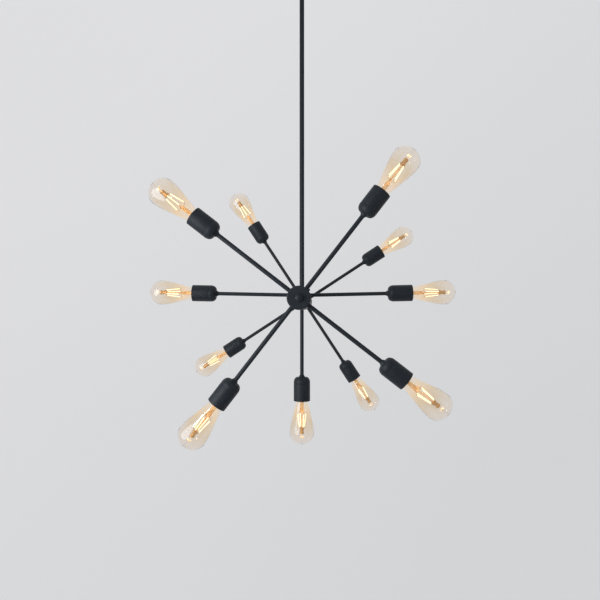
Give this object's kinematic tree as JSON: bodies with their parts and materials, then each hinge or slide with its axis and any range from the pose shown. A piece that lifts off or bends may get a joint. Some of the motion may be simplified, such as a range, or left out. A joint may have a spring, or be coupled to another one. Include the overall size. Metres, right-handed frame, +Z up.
{
  "type": "chandelier",
  "caption": "Stem-hung chandelier: a level tubular hub with three rings of straight lamp arms, each with a socket cup and a drop-shaped bulb.",
  "frame": {"origin": "on the ceiling, midway between the bracket's two screw holes", "axes": "+Z up out of the ceiling plane, +X to the viewer's right along the bracket's screw line, -Y towards the viewer along the hub"},
  "size_m": [0.7878, 0.623, 1.26],
  "materials": {
    "black_coat": "fine matte powder coat",
    "plated_steel": "zinc plated",
    "brass_part": "turned, plain",
    "amber_glass": "clear, champagne tinted",
    "nickel_cap": "nickel plated, with light strips",
    "phenolic": "moulded",
    "lead_cover": "extruded cable cover",
    "connector_cap": "moulded"
  },
  "bodies": {
    "ceiling_mount": {"ceiling_bracket": "plated_steel", "canopy": "black_coat", "canopy_screws": "black_coat", "swivel_nipple": "plated_steel", "nipple_nuts": "plated_steel", "ground_screw": "plated_steel", "canopy_wiring": "connector_cap"},
    "swivel": {"swivel_yoke": "black_coat", "pivot_screws": "black_coat"},
    "pendant": {"stem_knuckle": "black_coat", "stem_upper": "black_coat", "stem_lower": "black_coat", "stem_coupler": "plated_steel", "hub_body": "black_coat", "hub_front_cover": "black_coat", "hub_back_cover": "black_coat", "hub_tie_rod": "plated_steel", "hub_knobs": "black_coat", "hub_set_screw": "black_coat", "hub_crimp_caps": "connector_cap", "pendant_leads": "lead_cover", "near_arms": "black_coat", "middle_arms": "black_coat", "far_arms": "black_coat", "arm_lock_nuts": "plated_steel", "lampholders": "phenolic", "lampholder_contacts": "brass_part", "socket_cup_near_upper_right": "black_coat", "socket_cup_near_upper_left": "black_coat", "socket_cup_near_lower_left": "black_coat", "socket_cup_near_lower_right": "black_coat", "socket_cup_left": "black_coat", "socket_cup_right": "black_coat", "socket_cup_bottom": "black_coat", "socket_cup_far_upper_right": "black_coat", "socket_cup_far_upper_left": "black_coat", "socket_cup_far_lower_left": "black_coat", "socket_cup_far_lower_right": "black_coat"},
    "bulb_near_upper_right": {"bulb_glass_near_upper_right": "amber_glass", "bulb_cap_near_upper_right": "nickel_cap"},
    "bulb_near_upper_left": {"bulb_glass_near_upper_left": "amber_glass", "bulb_cap_near_upper_left": "nickel_cap"},
    "bulb_near_lower_left": {"bulb_glass_near_lower_left": "amber_glass", "bulb_cap_near_lower_left": "nickel_cap"},
    "bulb_near_lower_right": {"bulb_glass_near_lower_right": "amber_glass", "bulb_cap_near_lower_right": "nickel_cap"},
    "bulb_left": {"bulb_glass_left": "amber_glass", "bulb_cap_left": "nickel_cap"},
    "bulb_right": {"bulb_glass_right": "amber_glass", "bulb_cap_right": "nickel_cap"},
    "bulb_bottom": {"bulb_glass_bottom": "amber_glass", "bulb_cap_bottom": "nickel_cap"},
    "bulb_far_upper_right": {"bulb_glass_far_upper_right": "amber_glass", "bulb_cap_far_upper_right": "nickel_cap"},
    "bulb_far_upper_left": {"bulb_glass_far_upper_left": "amber_glass", "bulb_cap_far_upper_left": "nickel_cap"},
    "bulb_far_lower_left": {"bulb_glass_far_lower_left": "amber_glass", "bulb_cap_far_lower_left": "nickel_cap"},
    "bulb_far_lower_right": {"bulb_glass_far_lower_right": "amber_glass", "bulb_cap_far_lower_right": "nickel_cap"}
  },
  "joints": [
    {"name": "canopy_swivel", "type": "hinge", "parent": "ceiling_mount", "child": "swivel", "pos_m": [0, 0, -0.055], "axis": [0, 0, 1], "range_deg": [-170, 170]},
    {"name": "stem_tilt", "type": "hinge", "parent": "swivel", "child": "pendant", "pos_m": [0, 0, -0.055], "axis": [0, 1, 0], "range_deg": [-30, 30]},
    {"name": "unscrew_near_upper_right", "type": "slide", "parent": "pendant", "child": "bulb_near_upper_right", "axis": [0.6129, 0, 0.7902], "range_m": [0, 0.03]},
    {"name": "unscrew_near_upper_left", "type": "slide", "parent": "pendant", "child": "bulb_near_upper_left", "axis": [-0.7902, 0, 0.6129], "range_m": [0, 0.03]},
    {"name": "unscrew_near_lower_left", "type": "slide", "parent": "pendant", "child": "bulb_near_lower_left", "axis": [-0.6129, 0, -0.7902], "range_m": [0, 0.03]},
    {"name": "unscrew_near_lower_right", "type": "slide", "parent": "pendant", "child": "bulb_near_lower_right", "axis": [0.7902, 0, -0.6129], "range_m": [0, 0.03]},
    {"name": "unscrew_left", "type": "slide", "parent": "pendant", "child": "bulb_left", "axis": [-0.9998, 0, 0.0209], "range_m": [0, 0.03]},
    {"name": "unscrew_right", "type": "slide", "parent": "pendant", "child": "bulb_right", "axis": [0.9998, 0, 0.0209], "range_m": [0, 0.03]},
    {"name": "unscrew_bottom", "type": "slide", "parent": "pendant", "child": "bulb_bottom", "axis": [0, 0, -1], "range_m": [0, 0.03]},
    {"name": "unscrew_far_upper_right", "type": "slide", "parent": "pendant", "child": "bulb_far_upper_right", "axis": [0.8368, 0, 0.5476], "range_m": [0, 0.03]},
    {"name": "unscrew_far_upper_left", "type": "slide", "parent": "pendant", "child": "bulb_far_upper_left", "axis": [-0.5476, 0, 0.8368], "range_m": [0, 0.03]},
    {"name": "unscrew_far_lower_left", "type": "slide", "parent": "pendant", "child": "bulb_far_lower_left", "axis": [-0.8368, 0, -0.5476], "range_m": [0, 0.03]},
    {"name": "unscrew_far_lower_right", "type": "slide", "parent": "pendant", "child": "bulb_far_lower_right", "axis": [0.5476, 0, -0.8368], "range_m": [0, 0.03]}
  ]
}
